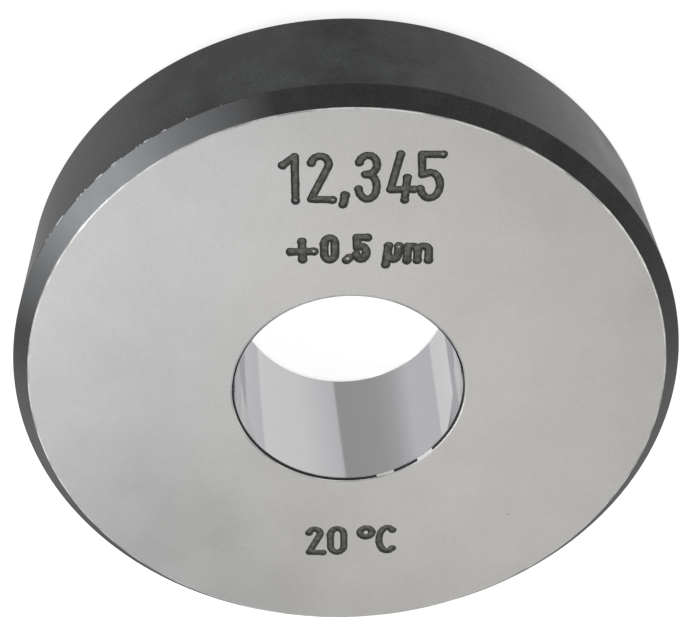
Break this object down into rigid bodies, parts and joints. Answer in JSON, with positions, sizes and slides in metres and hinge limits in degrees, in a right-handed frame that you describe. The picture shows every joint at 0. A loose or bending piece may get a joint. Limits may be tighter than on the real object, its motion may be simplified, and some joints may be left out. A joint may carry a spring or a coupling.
{
  "type": "setting ring",
  "caption": "Steel setting ring: a short, thick-walled ring with a lapped bore and faces and chamfered edges, used to set bore gauges to a known diameter.",
  "frame": {"origin": "centre of the bore, on the plain lapped face that the ring lies on", "axes": "+Z along the axis of the bore, from the plain face to the marked face; +Y towards the top of the engraved size; +X to its right"},
  "size_m": [0.036, 0.036, 0.0092],
  "materials": {
    "gauge_steel": "hardened tool steel: both faces finely lapped, the bore lapped bright, the outside and its chamfers blackened"
  },
  "bodies": {
    "root": {"setting_ring": "gauge_steel"}
  },
  "joints": []
}
